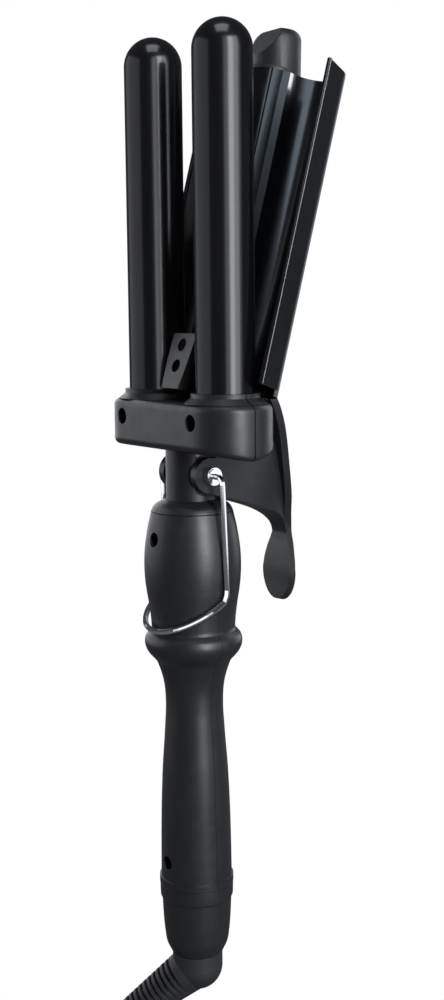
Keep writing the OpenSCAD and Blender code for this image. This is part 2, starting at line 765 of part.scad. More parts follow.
// Grooved ledges on both side walls, which hold the board's edges
module board_ledges() {
    for (z = [50, 62]) both_sides() difference() {
        translate([board_w / 2 - 1, board_y - 1.2, z]) cube([20, board_t + 2.4, 3]);
        translate([0, board_y - seat_gap / 2, z - 1]) cube([board_w / 2 + seat_gap, board_t + seat_gap, 5]);
    }
}
module handle_half(front) {
    difference() {
        intersection() {
            union() {
                difference() {
                    union() {
                        revolve(handle_profile);
                        translate([0, 0, handle_z0 - flange_h]) cylinder(r = flange_r, h = flange_h + 1);
                    }
                    revolve(handle_profile, -shell_t);
                    translate([0, 0, handle_z0 - 20]) cylinder(r = 15.9 - shell_t, h = 21);
                }
                intersection() {
                    union() {
                        handle_bosses();
                        board_ledges();
                    }
                    revolve(handle_profile, -0.5);
                }
            }
            half(front);
        }
        for (z = hole_z) translate([0, 0, z]) {
            along_y(handle_hole_d / 2, -30, -handle_seat);
            along_y(screw_r, -30, 7);
        }
        if (!front) panel_space();
    }
}
// Pocket of the control panel: a seat in the wall and a window through it
module panel_space() {
    difference() {
        translate([-panel_w / 2 - seat_gap, 8, panel_z0 - seat_gap])
            cube([panel_w + 2 * seat_gap, 20, panel_z1 - panel_z0 + 2 * seat_gap]);
        revolve(handle_profile, -panel_seat);
    }
    translate([-panel_w / 2 + 1.6, 8.6, panel_z0 + 1.6])
        cube([panel_w - 3.2, 20, panel_z1 - panel_z0 - 3.2]);
}
module handle_front() {
    color(c_matte) handle_half(true);
}
module handle_rear() {
    color(c_matte) handle_half(false);
}
module handle_screws() {
    color(c_steel) for (z = hole_z) translate([0, -handle_seat, z]) screw(handle_seat + screw_grip);
}
module handle_collar() {
    color(c_matte) difference() {
        rotate_extrude() polygon(concat([[0, handle_z1 + seam]], collar_profile,
            [[neck_r + 0.5, collar_z1], [0, collar_z1]]));
        translate([0, 0, neck_z0]) cylinder(r = neck_r, h = 40);
    }
    // Sleeve that holds the neck inside the handle
    color(c_matte) difference() {
        translate([0, 0, neck_z0 - 2]) cylinder(r = 17.9 - shell_t - 0.6, h = handle_z1 + seam - neck_z0 + 2);
        translate([0, 0, neck_z0]) cylinder(r = neck_r, h = 40);
        translate([0, 0, neck_z0 - 3]) cylinder(r = neck_r - 2.4, h = 40);
        translate([-15, 7, neck_z0 - 3]) cube([30, 20, 30]);
    }
}
module end_cap() {
    color(c_soft) translate([0, 0, cap_z1]) difference() {
        union() {
            rotate_extrude() polygon(concat([[0, 0]],
                [for (q = smooth(cap_profile, 3)) [q[1], -q[0] * cap_len / 33]],
                [[11.9, -cap_len + 0.5], [11.5, -cap_len], [0, -cap_len]]));
            // Spigot inside the handle
            translate([0, 0, -1]) cylinder(r = 15.9 - shell_t - seat_gap, h = 7);
        }
        translate([0, 0, -cap_len + cap_floor]) cylinder(r = swivel_r + swivel_lip + gap, h = big);
        translate([0, 0, -cap_len - 1]) cylinder(r = swivel_r + run_fit, h = 20);
    }
}

// ---- Controls ----

module control_panel() {
    color(c_gloss) difference() {
        intersection() {
            difference() {
                revolve(handle_profile, panel_t - panel_seat);
                revolve(handle_profile, -panel_seat);
            }
            translate([-panel_w / 2, 8, panel_z0]) cube([panel_w, 20, panel_z1 - panel_z0]);
        }
        translate([-panel_w / 2 + 2.4, 8, window_z - window_h / 2])
            cube([panel_w - 4.8, 20, window_h]);
        for (k = [[power_z, power_d], [plus_z, key_d], [minus_z, key_d]]) translate([0, 0, k[0]])
            along_y(k[1] / 2 + gap, 8, 28);
    }
}
module display_window() {
    w = panel_w - 4.8 - 2 * seat_gap;
    h = window_h - 2 * seat_gap;
    color([0.02, 0.02, 0.02]) intersection() {
        difference() {
            revolve(handle_profile, panel_t - panel_seat - 0.15);
            revolve(handle_profile, -panel_seat - 1.2);
        }
        translate([-w / 2, 8, window_z - h / 2]) cube([w, 20, h]);
    }
    // Module behind the window, on the board
    color(c_soft) translate([-w / 2 + 0.4, board_y + board_t, window_z - h / 2 + 0.4])
        cube([w - 0.8, 3.4, h - 0.8]);
}
// Height of the panel's outer face over the axis at a given height
function face_y(z) = lookup(z, [for (q = reversed(handle_profile)) q]) + panel_t - panel_seat;
module key(z, d) {
    y1 = face_y(z);
    y0 = y1 - panel_t - 1.6;
    color(c_soft) translate([0, 0, z]) {
        along_y(d / 2, y0, y1 + key_proud - 0.3);
        along_y(d / 2 - 0.3, y0, y1 + key_proud);
        along_y(d / 2 + key_lip, y0 - key_lip_t + 0.4, y0 + 0.4);
        along_y(1.2, board_y + board_t + 1.6 + key_travel + 0.1, y0);
    }
}
module power_button() {
    key(power_z, power_d);
}
module plus_button() {
    key(plus_z, key_d);
}
module minus_button() {
    key(minus_z, key_d);
}
module control_board() {
    color(c_board) {
        translate([-board_w / 2, board_y, 30]) cube([board_w, board_t, panel_z1 - 30 - 4]);
        for (z = [power_z, plus_z, minus_z]) translate([-2.4, board_y + board_t, z - 2.4])
            cube([4.8, 1.6, 4.8]);
    }
}
module thermal_fuse() {
    color(c_metal) translate([0, board_y - 2.2, 48]) rotate([0, 0, 0]) cylinder(r = 2.2, h = 11);
}

// ---- Cord guard ----

module guard_frame() {
    translate([0, 0, cap_z0 - gap]) rotate([0, 0, guard_turn]) children();
}
module guard_tail() {
    difference() {
        cylinder(d1 = tail_d1, d2 = tail_d2, h = tail_len);
        // Grooves, deep on the inner side of the bend and fading out on the other
        for (i = [0:grooves - 1]) let (z = groove_from + i * groove_pitch,
            r = (tail_d1 + (tail_d2 - tail_d1) * z / tail_len) / 2, cut = 0.13 * r + 0.35)
            translate([0, 0, z]) difference() {
                cylinder(r = 14, h = 0.5 * groove_pitch);
                translate([cut, 0, -1]) cylinder(r = r - cut + 0.45, h = 4);
            }
    }
}
module cord_guard() {
    color(c_soft) guard_frame() difference() {
        union() {
            // Turning head, its stem through the cap's floor and the collar above it
            translate([0, 0, -guard_head]) cylinder(r = guard_d / 2, h = guard_head);
            translate([0, 0, -1]) cylinder(r = swivel_r, h = cap_floor + 2 * gap + 1);
            translate([0, 0, cap_floor + 2 * gap]) cylinder(r = swivel_r + swivel_lip, h = 2);
            // Knuckle and tail
            intersection() {
                translate([0, 0, -guard_head]) sphere(guard_d / 2);
                translate([-20, -20, -1 - 40]) cube(40);
            }
            translate([0, 0, -guard_head]) rotate([0, 180 - guard_angle, 0]) guard_tail();
        }
        translate([0, 0, -guard_head]) cylinder(d = cord_bore, h = 40);
        translate([0, 0, -guard_head]) sphere(cord_bore / 2);
        translate([0, 0, -guard_head]) rotate([0, 180 - guard_angle, 0])
            cylinder(d = cord_bore, h = tail_len + 1);
    }
}

handle_front();
handle_rear();
handle_collar();
handle_screws();
neck();
yoke_front();
yoke_rear();
yoke_screws();
barrel_left();
barrel_right();
heater_left();
heater_right();
pivot_tube();
end_cap();
control_board();
thermal_fuse();
control_panel();
display_window();
power_button();
plus_button();
minus_button();
lever();
wing_plate();
middle_holder();
holder_screws();
barrel_middle();
middle_cap();
heater_middle();
return_spring();
stand_wire();
cord_guard();
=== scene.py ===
"""Hair waver in a white studio.

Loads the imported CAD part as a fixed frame, gives every piece a procedural finish, adds the yoke's
shaped underside, and sets up the photograph's camera and its lights.
All places are in metres, in the part's own frame: +Z up the handle, X along the yoke, -Y the
side with the screws and +Y the side with the thumb lever.
"""

from __future__ import annotations

import json
import logging
import math
from dataclasses import dataclass, field
from enum import Enum
from typing import Any

import bpy
from mathutils import Matrix, Vector

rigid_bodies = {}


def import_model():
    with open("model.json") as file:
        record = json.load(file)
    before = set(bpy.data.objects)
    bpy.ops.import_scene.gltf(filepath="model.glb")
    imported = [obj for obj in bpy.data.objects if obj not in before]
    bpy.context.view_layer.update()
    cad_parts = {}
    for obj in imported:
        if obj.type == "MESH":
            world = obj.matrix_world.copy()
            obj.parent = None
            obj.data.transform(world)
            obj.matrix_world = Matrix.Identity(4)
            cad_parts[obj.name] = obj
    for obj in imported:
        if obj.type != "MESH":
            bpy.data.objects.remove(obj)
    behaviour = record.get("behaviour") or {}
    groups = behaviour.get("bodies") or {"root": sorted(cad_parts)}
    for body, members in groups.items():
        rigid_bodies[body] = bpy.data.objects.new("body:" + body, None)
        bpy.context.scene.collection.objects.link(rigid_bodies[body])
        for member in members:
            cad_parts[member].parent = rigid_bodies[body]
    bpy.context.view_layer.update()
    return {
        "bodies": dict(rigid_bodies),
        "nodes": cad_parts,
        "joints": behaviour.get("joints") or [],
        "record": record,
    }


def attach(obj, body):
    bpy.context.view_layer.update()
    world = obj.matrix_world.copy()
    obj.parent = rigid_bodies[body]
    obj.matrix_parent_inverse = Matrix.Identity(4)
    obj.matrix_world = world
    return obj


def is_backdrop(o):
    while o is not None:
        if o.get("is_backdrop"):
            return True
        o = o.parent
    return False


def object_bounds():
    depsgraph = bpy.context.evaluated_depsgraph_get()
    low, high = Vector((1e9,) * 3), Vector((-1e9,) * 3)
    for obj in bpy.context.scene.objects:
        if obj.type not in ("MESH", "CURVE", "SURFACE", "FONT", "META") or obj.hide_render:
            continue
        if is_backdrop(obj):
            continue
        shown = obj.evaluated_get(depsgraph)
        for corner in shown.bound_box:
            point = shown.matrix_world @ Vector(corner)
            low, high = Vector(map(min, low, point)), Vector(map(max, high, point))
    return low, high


log = logging.getLogger("hair_waver")

MM = 0.001

Colour = tuple[float, float, float]
Frame = dict[str, Any]

DAYLIGHT: Colour = (0.93, 0.95, 1.0)
SKY: Colour = (0.72, 0.85, 1.0)
WHITE: Colour = (1.0, 1.0, 1.0)


class Lit(Enum):
    """The pieces that a soft box lights, where an empty group stands for all of them."""

    EVERYTHING = ()
    BARRELS = ("barrel_left", "barrel_right")
    LEFT_BARREL = ("barrel_left",)
    WING = ("barrel_middle", "wing_plate")
    CHROME = ("stand_wire", "pivot_tube")
    MATTE = (
        "yoke_front", "yoke_rear", "neck", "lever", "middle_holder", "middle_cap", "handle_front",
        "handle_rear", "handle_collar", "end_cap", "cord_guard", "yoke_keel", "control_panel",
        "display_window", "power_button", "plus_button", "minus_button", "return_spring",
    )  # fmt: skip


# ---- Shader graph ------------------------------------------------------------------------


class Value:
    """One output of a shader node, with arithmetic that adds Math nodes to its graph."""

    def __init__(self, graph: "Graph", socket: bpy.types.NodeSocket) -> None:
        """Keeps the output and the graph that it belongs to."""
        self.graph = graph
        self.socket = socket

    def __add__(self, other: "Value | float") -> "Value":
        """Adds a value."""
        return self.graph.math("ADD", self, other)

    __radd__ = __add__

    def __sub__(self, other: "Value | float") -> "Value":
        """Takes a value away."""
        return self.graph.math("SUBTRACT", self, other)

    def __rsub__(self, other: float) -> "Value":
        """Takes this value away from a number."""
        return self.graph.math("SUBTRACT", other, self)

    def __mul__(self, other: "Value | float") -> "Value":
        """Multiplies by a value."""
        return self.graph.math("MULTIPLY", self, other)

    __rmul__ = __mul__

    def ramp(self, low: float, high: float) -> "Value":
        """Smooth step of this value.

        Args:
            low: value that becomes 0.
            high: value that becomes 1.

        Returns:
            The stepped value.
        """
        return self.graph.node(
            "ShaderNodeMapRange",
            {"interpolation_type": "SMOOTHSTEP"},
            {"Value": self, "From Min": low, "From Max": high},
        )


class Graph:
    """Node tree of one material or world, built from values."""

    # The Mix node's sockets for colours, whose names it shares with its other kinds.
    MIX_A, MIX_B, MIX_RESULT = 6, 7, 2

    def __init__(self, owner: bpy.types.Material | bpy.types.World) -> None:
        """Empties the owner's node tree, but for its output.

        Args:
            owner: the material or world.
        """
        self.owner = owner
        owner.use_nodes = True
        self.tree = owner.node_tree
        self.tree.nodes.clear()
        is_world = isinstance(owner, bpy.types.World)
        self.output = self.tree.nodes.new("ShaderNodeOutputWorld" if is_world else "ShaderNodeOutputMaterial")

    def node(
        self,
        kind: str,
        settings: dict[str, Any] | None = None,
        inputs: dict[str | int, Any] | None = None,
        output: str | int = 0,
    ) -> Value:
        """Adds a node of any kind.

        Args:
            kind: node type.
            settings: attributes of the node.
            inputs: socket name or index, and a Value or a plain value for it.
            output: name or index of the output to return.

        Returns:
            The chosen output.
        """
        item = self.tree.nodes.new(kind)
        for key, setting in (settings or {}).items():
            setattr(item, key, setting)
        for key, given in (inputs or {}).items():
            if isinstance(given, Value):
                self.tree.links.new(given.socket, item.inputs[key])
            else:
                item.inputs[key].default_value = given
        return Value(self, item.outputs[output])

    def math(self, operation: str, a: Value | float, b: Value | float = 0.0) -> Value:
        """Adds a Math node on one or two values."""
        return self.node("ShaderNodeMath", {"operation": operation}, {0: a, 1: b})

    def place(self) -> Value:
        """Place on the surface in the part's frame, in metres."""
        return self.node("ShaderNodeTexCoord", output="Object")

    def across(self, place: Value, axis: str) -> Value:
        """Distance of a place from the part's middle plane across an axis."""
        return self.math("ABSOLUTE", self.node("ShaderNodeSeparateXYZ", inputs={0: place}, output=axis))

    def upright(self, place: Value, run: float) -> Value:
        """Place drawn out along Z, where run is a streak's width as a share of its length."""
        return self.node("ShaderNodeVectorMath", {"operation": "MULTIPLY"}, {0: place, 1: (1.0, 1.0, run)})

    def noise(self, place: Value, size: float, detail: float, rough: float) -> Value:
        """Noise whose cells are about size metres across, from 0 to 1."""
        sockets = {"Vector": place, "Scale": 1.0 / size, "Detail": detail, "Roughness": rough}
        return self.node("ShaderNodeTexNoise", {"noise_dimensions": "3D"}, sockets)

    def shaded(self, mask: Value, colour: Colour, low: float, high: float) -> Value:
        """Colour that a mask takes from low to high times itself.

        Args:
            mask: value from 0 to 1.
            colour: the colour at factor 1.
            low: factor where the mask is 0.
            high: factor where the mask is 1.

        Returns:
            The mixed colour.
        """
        return self.node(
            "ShaderNodeMix",
            {"data_type": "RGBA"},
            {"Factor": mask, self.MIX_A: rgba(scaled(colour, low)), self.MIX_B: rgba(scaled(colour, high))},
            self.MIX_RESULT,
        )

    def bump(self, height: Value, depth: float, radius: float = 0.0) -> Value:
        """Bumped normal.

        Args:
            height: relief from 0 to 1.
            depth: height of the relief in metres.
            radius: rounding of the edges in metres, none at 0.

        Returns:
            The normal.
        """
        inputs: dict[str | int, Any] = {"Height": height, "Distance": depth, "Strength": 1.0}
        if radius > 0:
            inputs["Normal"] = self.node("ShaderNodeBevel", {"samples": 4}, {"Radius": radius})
        return self.node("ShaderNodeBump", inputs=inputs)

    def principled(self, inputs: dict[str | int, Any]) -> Value:
        """Adds a Principled shader."""
        return self.node("ShaderNodeBsdfPrincipled", inputs=inputs)

    def blend(self, factor: Value, first: Value, second: Value) -> Value:
        """Mixes two shaders, the first at 0 and the second at 1."""
        return self.node("ShaderNodeMixShader", inputs={0: factor, 1: first, 2: second})

    def by_camera(self, other: Value, seen: Value) -> Value:
        """Mixes two shaders: what the camera sees directly, and what all other rays meet."""
        return self.blend(self.node("ShaderNodeLightPath", output="Is Camera Ray"), other, seen)

    def surface(self, shader: Value) -> Any:
        """Connects the finished shader and returns the material or world."""
        self.tree.links.new(shader.socket, self.output.inputs["Surface"])
        return self.owner


def rgba(colour: Colour) -> tuple[float, float, float, float]:
    """A colour with full alpha."""
    return (*colour, 1.0)


def scaled(colour: Colour, factor: float) -> Colour:
    """A colour made lighter or darker."""
    return tuple(min(1.0, c * factor) for c in colour)  # type: ignore[return-value]


# ---- Finishes ----------------------------------------------------------------------------


@dataclass(frozen=True)
class MouldedPlastic:
    """Spark-eroded plastic: fine grain, slight mottling and softened edges.

    Attributes:
        name: name of the material.
        colour: base colour.
        roughness: lowest roughness.
        grain: size of the grain.
        grain_depth: depth of the grain.
        mottle: how far the colour wanders from the base colour, as a share.
        patch: size of the mottled patches.
        patch_gain: roughness that the patches add.
        wear: size of the marks that handling leaves.
        wear_gain: roughness that the marks add.
        edge: radius of the softened edges, sharp at 0.
        seam: strength of the dark line at the parting plane, none at 0.
        seam_shade: colour of that line, as a share of the base colour.
        seam_core: half width of the line's dark middle.
        seam_half: half width of the whole line.
        creases: strength of upright creases against the grain, none at 0.
        crease: width of a crease.
        crease_run: a crease's width as a share of its length.
    """

    name: str
    colour: Colour = (0.0115, 0.012, 0.0135)
    roughness: float = 0.37
    grain: float = 0.35 * MM
    grain_depth: float = 0.012 * MM
    mottle: float = 0.22
    patch: float = 22 * MM
    patch_gain: float = 0.05
    wear: float = 5 * MM
    wear_gain: float = 0.07
    edge: float = 0.35 * MM
    seam: float = 0.0
    seam_shade: float = 0.2
    seam_core: float = 0.18 * MM
    seam_half: float = 0.4 * MM
    creases: float = 0.0
    crease: float = 3.2 * MM
    crease_run: float = 0.12

    def build(self) -> bpy.types.Material:
        """Builds the material.

        Returns:
            The material.
        """
        g = Graph(bpy.data.materials.new(self.name))
        place = g.place()
        grain = g.noise(place, self.grain, 3.0, 0.6)
        if self.creases > 0:
            upright = g.upright(place, self.crease_run)
            grain = grain + self.creases * g.noise(upright, self.crease, 3.0, 0.6)
        patches = g.noise(place, self.patch, 3.0, 0.55)
        worn = g.noise(place, self.wear, 4.0, 0.6).ramp(0.35, 0.75)
        plastic = g.principled(
            {
                "Base Color": g.shaded(patches, self.colour, 1 - self.mottle, 1 + self.mottle),
                "Roughness": self.roughness + self.wear_gain * worn + self.patch_gain * patches,
                "Normal": g.bump(grain, self.grain_depth, self.edge),
            }
        )
        if self.seam > 0:
            dark = rgba(scaled(self.colour, self.seam_shade))
            line = g.node("ShaderNodeBsdfDiffuse", inputs={"Color": dark})
            parting = self.seam * (1.0 - g.across(place, "Y").ramp(self.seam_core, self.seam_half))
            plastic = g.blend(parting, plastic, line)
        return g.surface(plastic)


@dataclass(frozen=True)
class CeramicCoat:
    """Gloss ceramic coating on an aluminium tube: deep black, with a faint orange peel.

    Attributes:
        name: name of the material.
        colour: base colour.
        roughness: lowest roughness of the base.
        specular: reflection level of the base.
        coat: weight of the clear coat.
        coat_roughness: roughness of the clear coat.
        peel: size of the orange peel.
        peel_depth: depth of the orange peel.
        line: width of the lines that drawing leaves along the tube.
        line_run: a line's width as a share of its length.
        line_gain: roughness that the lines add.
        wipe: width of the wiped patches.
        wipe_run: a patch's width as a share of its length.
        wipe_gain: roughness that the patches add.
    """

    name: str
    colour: Colour = (0.0045, 0.0048, 0.0058)
    roughness: float = 0.16
    specular: float = 0.6
    coat: float = 0.5
    coat_roughness: float = 0.11
    peel: float = 1.6 * MM
    peel_depth: float = 0.004 * MM
    line: float = 2.4 * MM
    line_run: float = 0.03
    line_gain: float = 0.05
    wipe: float = 16 * MM
    wipe_run: float = 0.35
    wipe_gain: float = 0.09

    def build(self) -> bpy.types.Material:
        """Builds the material.

        Returns:
            The material.
        """
        g = Graph(bpy.data.materials.new(self.name))
        place = g.place()
        peel = g.noise(place, self.peel, 1.0, 0.4)
        drawn = g.noise(g.upright(place, self.line_run), self.line, 2.0, 0.5)
        wiped = g.noise(g.upright(place, self.wipe_run), self.wipe, 4.0, 0.6)
        coat = g.principled(
            {
                "Base Color": g.shaded(wiped, self.colour, 0.7, 1.5),
                "Roughness": self.roughness + self.line_gain * drawn + self.wipe_gain * wiped,
                "Specular IOR Level": self.specular,
                "Coat Weight": self.coat,
                "Coat Roughness": self.coat_roughness,
                "Normal": g.bump(peel, self.peel_depth),
            }
        )
        return g.surface(coat)


@dataclass(frozen=True)
class Metal:
    """Plated or plain metal, with faint smears and fine scratches.

    Attributes:
        name: name of the material.
        colour: colour of the clean metal.
        roughness: lowest roughness.
        smear: size of the smears.
        smear_gain: roughness that the smears add.
        smear_shade: colour of a smear, as a share of the clean metal's.
        scratch: size of the scratches.
        scratch_depth: depth of the scratches.
    """

    name: str
    colour: Colour = (0.86, 0.87, 0.89)
    roughness: float = 0.08
    smear: float = 4 * MM
    smear_gain: float = 0.06
    smear_shade: float = 0.86
    scratch: float = 0.25 * MM
    scratch_depth: float = 0.001 * MM

    def build(self) -> bpy.types.Material:
        """Builds the material.

        Returns:
            The material.
        """
        g = Graph(bpy.data.materials.new(self.name))
        place = g.place()
        smears = g.noise(place, self.smear, 4.0, 0.6)
        scratches = g.noise(place, self.scratch, 2.0, 0.7)
        metal = g.principled(
            {
                "Base Color": g.shaded(smears.ramp(0.3, 0.8), self.colour, 1.0, self.smear_shade),
                "Metallic": 1.0,
                "Roughness": self.roughness + self.smear_gain * smears,
                "Normal": g.bump(scratches, self.scratch_depth),
            }
        )
        return g.surface(metal)


@dataclass(frozen=True)
class GlossPlastic:
    """Polished or smoked plastic with a few dull specks.

    Attributes:
        name: name of the material.
        colour: base colour.
        roughness: lowest roughness.
        speck: size of the dull specks.
        speck_gain: roughness that the specks add.
        wave: width of the waves that moulding leaves.
        wave_depth: depth of the waves.
        wave_gain: roughness that the waves add.
        edge: radius of the softened edges.
    """

    name: str
    colour: Colour = (0.008, 0.008, 0.010)
    roughness: float = 0.12
    speck: float = 0.6 * MM
    speck_gain: float = 0.10
    wave: float = 9 * MM
    wave_depth: float = 0.004 * MM
    wave_gain: float = 0.03
    edge: float = 0.2 * MM

    def build(self) -> bpy.types.Material:
        """Builds the material.

        Returns:
            The material.
        """
        g = Graph(bpy.data.materials.new(self.name))
        place = g.place()
        specks = g.noise(place, self.speck, 3.0, 0.6).ramp(0.62, 0.8)
        waves = g.noise(place, self.wave, 2.0, 0.5)
        plastic = g.principled(
            {
                "Base Color": g.shaded(waves, self.colour, 0.8, 1.3),
                "Roughness": self.roughness + self.speck_gain * specks + self.wave_gain * waves,
                "Normal": g.bump(waves, self.wave_depth, self.edge),
            }
        )
        return g.surface(plastic)


@dataclass(frozen=True)
class Rubber:
    """Soft moulded rubber with a pale bloom in patches.

    Attributes:
        name: name of the material.
        colour: base colour.
        roughness: lowest roughness.
        specular: reflection level.
        bloom: size of the patches.
        bloom_gain: roughness that the bloom adds.
        grain: size of the grain.
        grain_depth: depth of the grain.
        edge: radius of the softened edges.
    """

    name: str
    colour: Colour = (0.017, 0.0172, 0.019)
    roughness: float = 0.52
    specular: float = 0.45
    bloom: float = 7 * MM
    bloom_gain: float = 0.10
    grain: float = 0.4 * MM
    grain_depth: float = 0.010 * MM
    edge: float = 0.25 * MM

    def build(self) -> bpy.types.Material:
        """Builds the material.

        Returns:
            The material.
        """
        g = Graph(bpy.data.materials.new(self.name))
        place = g.place()
        bloom = g.noise(place, self.bloom, 4.0, 0.6)
        grain = g.noise(place, self.grain, 2.0, 0.6)
        rubber = g.principled(
            {
                "Base Color": g.shaded(bloom, self.colour, 0.75, 1.35),
                "Roughness": self.roughness + self.bloom_gain * bloom,
                "Specular IOR Level": self.specular,
                "Normal": g.bump(grain, self.grain_depth, self.edge),
            }
        )
        return g.surface(rubber)


@dataclass(frozen=True)
class Palette:
    """Every finish of the tool: the record's material slots, and variants of two of them.

    The halves of yoke and grip wear matte_black with a parting line, and the middle barrel's cap
    wears soft_black with creases.
    """

    matte_black: MouldedPlastic = MouldedPlastic("matte_black")
    matte_halves: MouldedPlastic = MouldedPlastic("matte_halves", seam=0.9)
    grip_halves: MouldedPlastic = MouldedPlastic("grip_halves", seam=0.25)
    soft_black: MouldedPlastic = MouldedPlastic(
        "soft_black",
        colour=(0.0105, 0.0108, 0.012),
        roughness=0.40,
        grain=0.5 * MM,
    )
    cap_rubber: MouldedPlastic = MouldedPlastic(
        "cap_rubber",
        colour=(0.009, 0.0092, 0.010),
        roughness=0.45,
        grain=0.6 * MM,
        edge=0.8 * MM,
        creases=14.0,
    )
    gloss_ceramic: CeramicCoat = CeramicCoat("gloss_ceramic")
    chrome: Metal = Metal("chrome")
    steel: Metal = Metal("steel", colour=(0.10, 0.10, 0.11), roughness=0.35, smear_gain=0.2)
    guard_rubber: Rubber = Rubber("guard_rubber")
    panel_gloss: GlossPlastic = GlossPlastic("panel_gloss")
    window_smoke: GlossPlastic = GlossPlastic("window_smoke", colour=(0.003, 0.003, 0.004), roughness=0.06)
    key_plastic: MouldedPlastic = MouldedPlastic("key_plastic", colour=(0.03, 0.03, 0.033), roughness=0.35)
    board_green: MouldedPlastic = MouldedPlastic("board_green", colour=(0.02, 0.12, 0.05), edge=0.0)
    ceramic_core: MouldedPlastic = MouldedPlastic("ceramic_core", colour=(0.6, 0.55, 0.46), edge=0.0)

    def materials(self) -> dict[str, bpy.types.Material]:
        """Builds every material.

        Returns:
            Finish name to material.
        """
        return {name: getattr(self, name).build() for name in self.__dataclass_fields__}


# ---- Meshes ------------------------------------------------------------------------------


def mesh_object(name: str, points: list[Vector], faces: list[list[int]]) -> bpy.types.Object:
    """Makes a mesh object in the scene.

    Args:
        name: name of the object and its mesh.
        points: corners in metres.
        faces: indices of each face's corners.

    Returns:
        The new object.
    """
    mesh = bpy.data.meshes.new(name)
    mesh.from_pydata([tuple(p) for p in points], [], faces)
    mesh.update()
    made = bpy.data.objects.new(name, mesh)
    bpy.context.scene.collection.objects.link(made)
    return made


def apply_modifiers(item: bpy.types.Object) -> None:
    """Replaces an object's mesh with what its modifiers make of it.

    Args:
        item: the object.
    """
    bpy.context.view_layer.update()
    shown = item.evaluated_get(bpy.context.evaluated_depsgraph_get())
    item.data = bpy.data.meshes.new_from_object(shown)
    item.modifiers.clear()


def smooth_by_angle(item: bpy.types.Object, angle: float) -> None:
    """Shades a mesh smooth, but for its sharp edges.

    Args:
        item: the mesh object.
        angle: an edge that turns by more than these degrees stays sharp.
    """
    mesh = item.data
    for face in mesh.polygons:
        face.use_smooth = True
    mesh.set_sharp_from_angle(angle=math.radians(angle))


@dataclass(frozen=True)
class Keel:
    """The yoke's underside, which drops from both long sides to the parting plane.

    Attributes:
        centre: distance of the round ends' centres from the middle.
        radius: radius of the round ends, a hair outside the yoke's wall.
        top: height where it meets the yoke's straight wall.
        edge: height of the underside at the long sides.
        low: height of the underside at the parting plane.
        swell: power of the drop, where 1 is a straight slope.
        rounding: radius of the lower edge.
        way: half width of the opening that the lever's webs turn in.
        way_depth: how far that opening's cut reaches down and back.
        end_steps: facets of a round end.
        edge_steps: facets of the lower edge.
        insets: distances in from the wall of the rings that close the underside.
        crease: edges that turn by more than these degrees stay sharp.
    """

    centre: float = 27.5 * MM
    radius: float = 18.54 * MM
    top: float = 117.3 * MM
    edge: float = 114.3 * MM
    low: float = 110.6 * MM
    swell: float = 1.25
    rounding: float = 2.2 * MM
    way: float = 14.7 * MM
    way_depth: float = 40 * MM
    end_steps: int = 24
    edge_steps: int = 6
    insets: tuple[float, ...] = (4 * MM, 7 * MM, 10 * MM, 13 * MM, 16 * MM, 18.3 * MM)
    crease: float = 35

    def ring(self, inset: float, lift: float | None) -> list[Vector]:
        """One ring of the shell.

        Args:
            inset: distance in from the wall.
            lift: height above the keel line, or None for the level top ring.

        Returns:
            The ring's points, anticlockwise from above.
        """
        points = []
        for side in (1, -1):
            for i in range(self.end_steps + 1):
                a = math.radians(-90 + 180 * i / self.end_steps)
                x = side * (self.centre + (self.radius - inset) * math.cos(a))
                y = side * (self.radius - inset) * math.sin(a)
                share = abs(y) / self.radius
                line = self.low + (self.edge - self.low) * share**self.swell
                points.append(Vector((x, y, self.top if lift is None else line + lift)))
        return points

    def rings(self) -> list[list[Vector]]:
        """Every ring: the level top, the rounded lower edge and the underside.

        Returns:
            The rings, from the top to the underside's middle.
        """
        r = self.rounding
        rings = [self.ring(0.0, None)]
        for i in range(self.edge_steps + 1):
            a = math.radians(90 * i / self.edge_steps)
            rings.append(self.ring(r * (1 - math.cos(a)), r * (1 - math.sin(a))))
        return rings + [self.ring(inset, 0.0) for inset in self.insets]

    def way_block(self) -> bpy.types.Object:
        """Makes the block that cuts out the lever's way.

        Returns:
            The block.
        """
        w, d = self.way, self.way_depth
        points = [Vector((x, y, z)) for x in (-w, w) for y in (0.0, d) for z in (self.low - d, self.edge)]
        faces = [[0, 1, 3, 2], [4, 6, 7, 5], [0, 4, 5, 1], [2, 3, 7, 6], [0, 2, 6, 4], [1, 5, 7, 3]]
        return mesh_object("keel_way", points, faces)

    def build(self) -> bpy.types.Object:
        """Builds the underside as one closed shell, with the lever's way cut out.

        Returns:
            The underside.
        """
        rings = self.rings()
        count = len(rings[0])
        faces = [list(range(count))]
        for k in range(len(rings) - 1):
            upper, lower = k * count, (k + 1) * count
            for i in range(count):
                j = (i + 1) % count
                faces.append([upper + i, lower + i, lower + j, upper + j])
        faces.append([len(rings) * count - 1 - i for i in range(count)])
        shell = mesh_object("yoke_keel", [p for ring in rings for p in ring], faces)
        block = self.way_block()
        cut = shell.modifiers.new("way", "BOOLEAN")
        cut.operation = "DIFFERENCE"
        cut.solver = "EXACT"
        cut.object = block
        apply_modifiers(shell)
        bpy.data.objects.remove(block)
        smooth_by_angle(shell, self.crease)
        return shell


# ---- Sub-assemblies ----------------------------------------------------------------------


@dataclass
class SubAssembly:
    """A group of CAD nodes that are finished together.

    Attributes:
        frame: the loaded frame.
        materials: finish name to material.
        finishes: node to finish name.
    """

    frame: Frame
    materials: dict[str, bpy.types.Material]
    finishes: dict[str, str] = field(default_factory=dict)

    def dress(self) -> None:
        """Gives each node of the group its finish."""
        for name, finish in self.finishes.items():
            node = self.frame["nodes"][name]
            node.data.materials.clear()
            node.data.materials.append(self.materials[finish])
            log.info("%s wears %s", name, finish)


